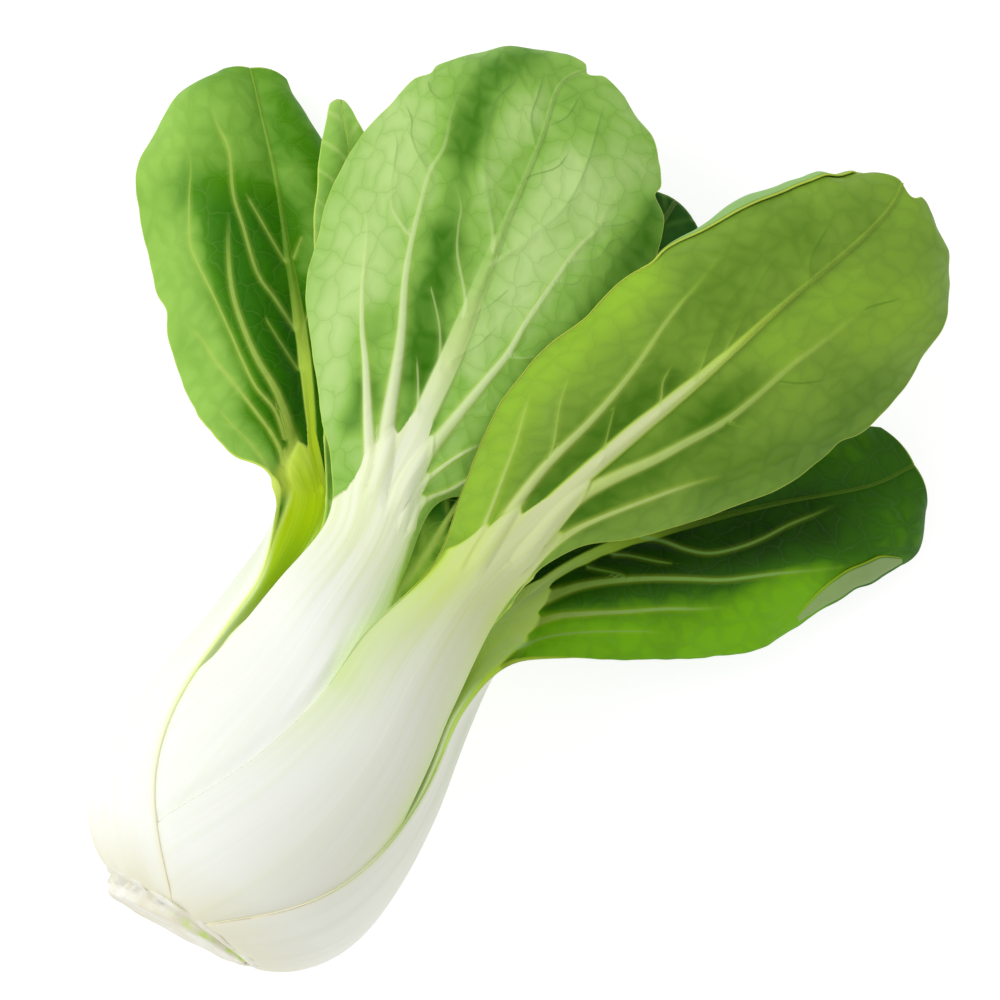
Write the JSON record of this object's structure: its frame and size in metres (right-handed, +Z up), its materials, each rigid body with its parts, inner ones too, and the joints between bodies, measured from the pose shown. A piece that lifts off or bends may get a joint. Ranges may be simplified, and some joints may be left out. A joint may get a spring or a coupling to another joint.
{
  "type": "bok choy",
  "caption": "Head of white-stemmed bok choy lying on its side: thick white stalks packed in a bulb behind a cut stem, fanning out into green leaf blades. A fresh vegetable.",
  "frame": {"origin": "middle of the underside of the head's box, on the surface that it lies on", "axes": "+X along the stem axis from the cut butt to the leaf tips, the longest way, +Y to the head's left, +Z up, the shortest way"},
  "size_m": [0.2064, 0.1796, 0.0597],
  "materials": {
    "stem": "cut plant stem, dry, fibrous, pale tan with a yellow-green rim",
    "stalk": "fresh leaf stalk, smooth, waxy, faintly ribbed, white turning pale green",
    "blade_outer": "fresh leaf, satin, veined, mid green",
    "blade_inner": "fresh young leaf, satin, veined, light green",
    "blade_heart": "heart leaf, satin, crinkled, yellow-green"
  },
  "bodies": {
    "root": {"stem_base": "stem", "leaf_right_stalk": "stalk", "leaf_right_blade": "blade_outer", "leaf_left_stalk": "stalk", "leaf_left_blade": "blade_outer", "leaf_front_right_stalk": "stalk", "leaf_front_right_blade": "blade_outer", "leaf_under_stalk": "stalk", "leaf_under_blade": "blade_outer", "leaf_front_left_stalk": "stalk", "leaf_front_left_blade": "blade_outer", "leaf_inner_left_stalk": "stalk", "leaf_inner_left_blade": "blade_inner", "leaf_inner_right_stalk": "stalk", "leaf_inner_right_blade": "blade_inner", "leaf_inner_top_stalk": "stalk", "leaf_inner_top_blade": "blade_inner", "leaf_inner_low_left_stalk": "stalk", "leaf_inner_low_left_blade": "blade_inner", "leaf_inner_low_right_stalk": "stalk", "leaf_inner_low_right_blade": "blade_inner", "leaf_heart_stalk": "stalk", "leaf_heart_blade": "blade_heart"}
  },
  "joints": []
}
